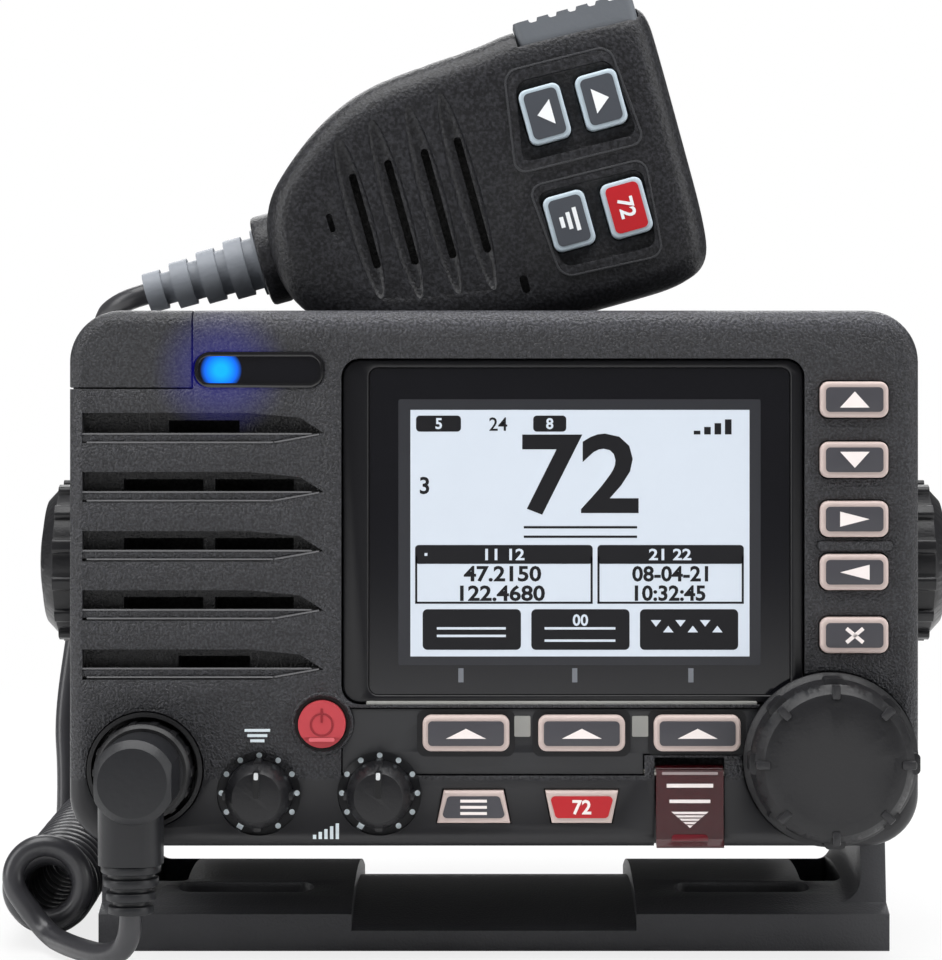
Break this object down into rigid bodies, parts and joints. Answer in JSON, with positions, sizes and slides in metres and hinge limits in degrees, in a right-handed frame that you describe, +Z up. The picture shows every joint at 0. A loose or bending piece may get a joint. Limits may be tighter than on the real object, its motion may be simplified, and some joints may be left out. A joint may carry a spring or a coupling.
{
  "type": "vhf marine radio",
  "caption": "Fixed-mount marine radio in a tilting U bracket, with display, keys, rotary dial and a fist microphone on a curly cord.",
  "frame": {"origin": "middle of the mounting bracket's underside, straight below the tilt axis", "axes": "+Z up, the front faces -Y, +X to the right as seen from the front"},
  "size_m": [0.2156, 0.1632, 0.21],
  "materials": {
    "housing": "fine pebble grain",
    "satin": "satin",
    "bracket": "fine pebble grain",
    "sink": "black anodised",
    "window": "clear, glossy",
    "screen": "lit display",
    "lamp": "lit",
    "cloth": "fine weave",
    "steel": "brushed",
    "brass": "plated",
    "knob": "satin",
    "key": "satin with a light rim",
    "red": "satin",
    "flap": "smoky red",
    "rubber": "matt",
    "grey": "matt"
  },
  "bodies": {
    "bracket": {"mounting_bracket": "bracket", "cord_coil": "rubber", "front_tail": "rubber", "rear_tail": "rubber"},
    "radio": {"front_bezel": "housing", "corner_cover": "housing", "led_window": "window", "led_lamp": "lamp", "speaker_mesh": "cloth", "speaker": "steel", "display_frame": "satin", "display_window": "window", "lcd_panel": "screen", "soft_key_panel": "satin", "rear_case": "housing", "heat_sink": "sink", "bezel_gasket": "rubber", "antenna_socket": "steel", "power_gland": "rubber", "data_gland": "rubber", "left_pad": "rubber", "right_pad": "rubber", "squelch_pot": "brass", "volume_pot": "brass", "dial_encoder": "brass", "distress_hinge_pin": "steel", "mic_socket": "satin", "mic_plug": "rubber", "plug_boot": "rubber"},
    "left_tilt_knob": {"left_knob": "knob"},
    "right_tilt_knob": {"right_knob": "knob"},
    "cover": {"distress_cover": "flap"},
    "squelch": {"squelch_knob": "knob"},
    "volume": {"volume_knob": "knob"},
    "dial_stem": {"dial_shaft": "steel"},
    "dial": {"channel_dial": "knob"},
    "plug_ring": {"coupling_ring": "knob"},
    "microphone": {"mic_front_shell": "housing", "mic_rear_shell": "housing", "mic_mesh": "cloth", "mic_boot": "grey", "mic_stud": "steel"},
    "talk_key": {"ptt_button": "grey"},
    "key_up_body": {"key_up": "key"},
    "key_down_body": {"key_down": "key"},
    "key_right_body": {"key_right": "key"},
    "key_left_body": {"key_left": "key"},
    "key_clear_body": {"key_clear": "key"},
    "soft_key_left_body": {"soft_key_left": "key"},
    "soft_key_middle_body": {"soft_key_middle": "key"},
    "soft_key_right_body": {"soft_key_right": "key"},
    "menu_key_body": {"menu_key": "key"},
    "channel_key_body": {"channel_key": "red"},
    "power_button_body": {"power_button": "red"},
    "distress_button_body": {"distress_button": "red"},
    "mic_key_left_body": {"mic_key_left": "key"},
    "mic_key_right_body": {"mic_key_right": "key"},
    "mic_key_level_body": {"mic_key_level": "key"},
    "mic_key_channel_body": {"mic_key_channel": "red"}
  },
  "joints": [
    {"name": "gimbal_tilt", "type": "hinge", "parent": "bracket", "child": "radio", "pos_m": [0, 0, 0.083], "axis": [-1, 0, 0], "range_deg": [-5, 20], "deforming": ["front_tail", "rear_tail"]},
    {"name": "left_knob_turn", "type": "hinge", "parent": "radio", "child": "left_tilt_knob", "pos_m": [-0.09, 0, 0.083], "axis": [-1, 0, 0], "continuous": true},
    {"name": "right_knob_turn", "type": "hinge", "parent": "radio", "child": "right_tilt_knob", "pos_m": [0.09, 0, 0.083], "axis": [1, 0, 0], "continuous": true},
    {"name": "cover_flip", "type": "hinge", "parent": "radio", "child": "cover", "pos_m": [0.0413, -0.0504, 0.041], "axis": [1, 0, 0], "range_deg": [-90, 0], "stiffness_Nm_per_rad": 0.002},
    {"name": "squelch_turn", "type": "hinge", "parent": "radio", "child": "squelch", "pos_m": [-0.0497, -0.055, 0.0366], "axis": [0, 1, 0], "range_deg": [-150, 150]},
    {"name": "volume_turn", "type": "hinge", "parent": "radio", "child": "volume", "pos_m": [-0.0242, -0.055, 0.0366], "axis": [0, 1, 0], "range_deg": [-150, 150]},
    {"name": "dial_push", "type": "slide", "parent": "radio", "child": "dial_stem", "axis": [0, 1, 0], "range_m": [0, 0.0008], "stiffness_N_per_m": 1200},
    {"name": "dial_turn", "type": "hinge", "parent": "dial_stem", "child": "dial", "pos_m": [0.071, -0.058, 0.044], "axis": [0, 1, 0], "continuous": true},
    {"name": "plug_ring_turn", "type": "hinge", "parent": "radio", "child": "plug_ring", "pos_m": [-0.0738, -0.054, 0.0416], "axis": [0, 1, 0], "continuous": true},
    {"name": "microphone_lift", "type": "slide", "parent": "radio", "child": "microphone", "axis": [0, 0, 1], "range_m": [0, 0.08], "deforming": ["rear_tail"]},
    {"name": "key_up_press", "type": "slide", "parent": "radio", "child": "key_up_body", "axis": [0, 1, 0], "range_m": [0, 0.0008], "stiffness_N_per_m": 900},
    {"name": "key_down_press", "type": "slide", "parent": "radio", "child": "key_down_body", "axis": [0, 1, 0], "range_m": [0, 0.0008], "stiffness_N_per_m": 900},
    {"name": "key_right_press", "type": "slide", "parent": "radio", "child": "key_right_body", "axis": [0, 1, 0], "range_m": [0, 0.0008], "stiffness_N_per_m": 900},
    {"name": "key_left_press", "type": "slide", "parent": "radio", "child": "key_left_body", "axis": [0, 1, 0], "range_m": [0, 0.0008], "stiffness_N_per_m": 900},
    {"name": "key_clear_press", "type": "slide", "parent": "radio", "child": "key_clear_body", "axis": [0, 1, 0], "range_m": [0, 0.0008], "stiffness_N_per_m": 900},
    {"name": "soft_key_left_press", "type": "slide", "parent": "radio", "child": "soft_key_left_body", "axis": [0, 1, 0], "range_m": [0, 0.0008], "stiffness_N_per_m": 900},
    {"name": "soft_key_middle_press", "type": "slide", "parent": "radio", "child": "soft_key_middle_body", "axis": [0, 1, 0], "range_m": [0, 0.0008], "stiffness_N_per_m": 900},
    {"name": "soft_key_right_press", "type": "slide", "parent": "radio", "child": "soft_key_right_body", "axis": [0, 1, 0], "range_m": [0, 0.0008], "stiffness_N_per_m": 900},
    {"name": "menu_key_press", "type": "slide", "parent": "radio", "child": "menu_key_body", "axis": [0, 1, 0], "range_m": [0, 0.0008], "stiffness_N_per_m": 900},
    {"name": "channel_key_press", "type": "slide", "parent": "radio", "child": "channel_key_body", "axis": [0, 1, 0], "range_m": [0, 0.0008], "stiffness_N_per_m": 900},
    {"name": "power_button_press", "type": "slide", "parent": "radio", "child": "power_button_body", "axis": [0, 1, 0], "range_m": [0, 0.0008], "stiffness_N_per_m": 900},
    {"name": "distress_button_press", "type": "slide", "parent": "radio", "child": "distress_button_body", "axis": [0, 1, 0], "range_m": [0, 0.0008], "stiffness_N_per_m": 900},
    {"name": "mic_key_left_press", "type": "slide", "parent": "microphone", "child": "mic_key_left_body", "axis": [0, 1, 0], "range_m": [0, 0.0008], "stiffness_N_per_m": 900},
    {"name": "mic_key_right_press", "type": "slide", "parent": "microphone", "child": "mic_key_right_body", "axis": [0, 1, 0], "range_m": [0, 0.0008], "stiffness_N_per_m": 900},
    {"name": "mic_key_level_press", "type": "slide", "parent": "microphone", "child": "mic_key_level_body", "axis": [0, 1, 0], "range_m": [0, 0.0008], "stiffness_N_per_m": 900},
    {"name": "mic_key_channel_press", "type": "slide", "parent": "microphone", "child": "mic_key_channel_body", "axis": [0, 1, 0], "range_m": [0, 0.0008], "stiffness_N_per_m": 900},
    {"name": "talk_press", "type": "slide", "parent": "microphone", "child": "talk_key", "axis": [0.2672, 0, -0.9636], "range_m": [0, 0.0015], "stiffness_N_per_m": 900}
  ]
}
